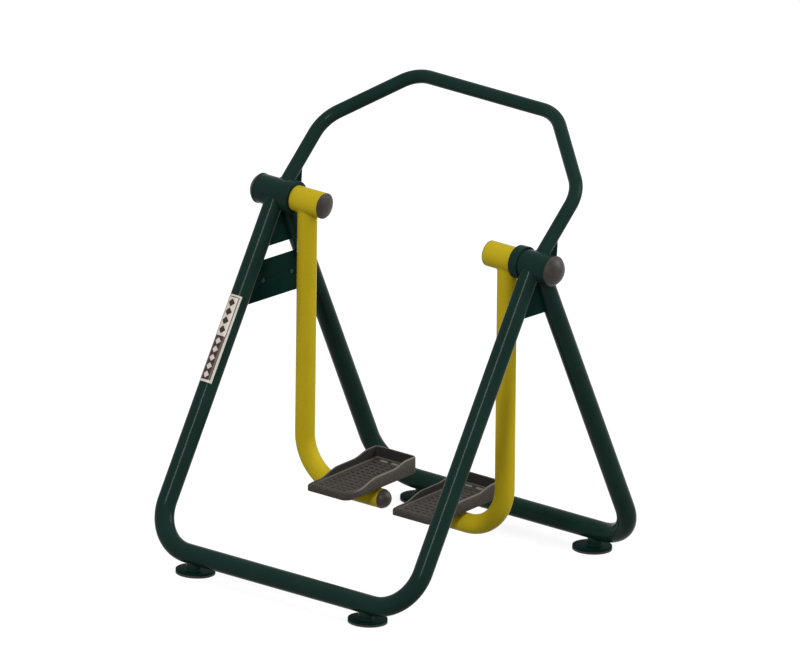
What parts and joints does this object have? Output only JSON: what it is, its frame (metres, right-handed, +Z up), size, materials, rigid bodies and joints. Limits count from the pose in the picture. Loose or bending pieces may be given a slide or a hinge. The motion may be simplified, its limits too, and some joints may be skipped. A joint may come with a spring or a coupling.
{
  "type": "outdoor air walker",
  "caption": "Free-standing outdoor air walker: a tube stand, a hoop handlebar and two hub-hung arms with pedal trays that swing to and fro.",
  "frame": {"origin": "on the ground under the middle of the stand", "axes": "+X along the swing axis to the walker's right, +Y the way the walker faces, +Z up"},
  "size_m": [1.189, 1.1732, 1.408],
  "materials": {
    "green_paint": "gloss",
    "yellow_paint": "gloss",
    "black_plastic": "satin",
    "pedal_plastic": "textured",
    "pad_rubber": "matte",
    "label_vinyl": "gloss",
    "machined_steel": "turned",
    "bearing_steel": "ground",
    "zinc_steel": "zinc plated"
  },
  "bodies": {
    "frame": {"rear_frame": "green_paint", "front_frame": "green_paint", "handlebar": "green_paint", "left_handlebar_gusset": "green_paint", "right_handlebar_gusset": "green_paint", "left_leg_gusset": "green_paint", "right_leg_gusset": "green_paint", "sign_plate": "green_paint", "sign_bolts": "green_paint", "label_strip": "label_vinyl", "rear_left_foot_pad": "pad_rubber", "rear_right_foot_pad": "pad_rubber", "front_left_foot_pad": "pad_rubber", "front_right_foot_pad": "pad_rubber", "rear_left_foot_flange": "green_paint", "rear_right_foot_flange": "green_paint", "front_left_foot_flange": "green_paint", "front_right_foot_flange": "green_paint", "foot_stubs": "green_paint", "left_hub_housing": "green_paint", "right_hub_housing": "green_paint", "left_hub_collar": "green_paint", "right_hub_collar": "green_paint", "left_hub_cap": "black_plastic", "right_hub_cap": "black_plastic", "bearing_seats": "machined_steel", "bearing_outer_rings": "bearing_steel", "swing_stops": "machined_steel"},
    "left_arm": {"left_arm_shaft": "machined_steel", "left_bearing_inner_rings": "bearing_steel", "left_bearing_balls": "bearing_steel", "left_stop_spacer": "machined_steel", "left_stop_key": "machined_steel", "left_shaft_washer": "zinc_steel", "left_shaft_nut": "zinc_steel", "left_arm_sleeve": "yellow_paint", "left_sleeve_webs": "yellow_paint", "left_sleeve_cap": "black_plastic", "left_arm_tube": "yellow_paint", "left_arm_end_cap": "black_plastic", "left_pedal": "pedal_plastic", "left_pedal_bracket": "yellow_paint", "left_pedal_screws": "zinc_steel"},
    "right_arm": {"right_arm_shaft": "machined_steel", "right_bearing_inner_rings": "bearing_steel", "right_bearing_balls": "bearing_steel", "right_stop_spacer": "machined_steel", "right_stop_key": "machined_steel", "right_shaft_washer": "zinc_steel", "right_shaft_nut": "zinc_steel", "right_arm_sleeve": "yellow_paint", "right_sleeve_webs": "yellow_paint", "right_sleeve_cap": "black_plastic", "right_arm_tube": "yellow_paint", "right_arm_end_cap": "black_plastic", "right_pedal": "pedal_plastic", "right_pedal_bracket": "yellow_paint", "right_pedal_screws": "zinc_steel"}
  },
  "joints": [
    {"name": "left_arm_swing", "type": "hinge", "parent": "frame", "child": "left_arm", "pos_m": [-0.495, 0, 1.037], "axis": [1, 0, 0], "range_deg": [-62.6, 57.4]},
    {"name": "right_arm_swing", "type": "hinge", "parent": "frame", "child": "right_arm", "pos_m": [0.495, 0, 1.037], "axis": [1, 0, 0], "range_deg": [-62.6, 57.4]}
  ]
}
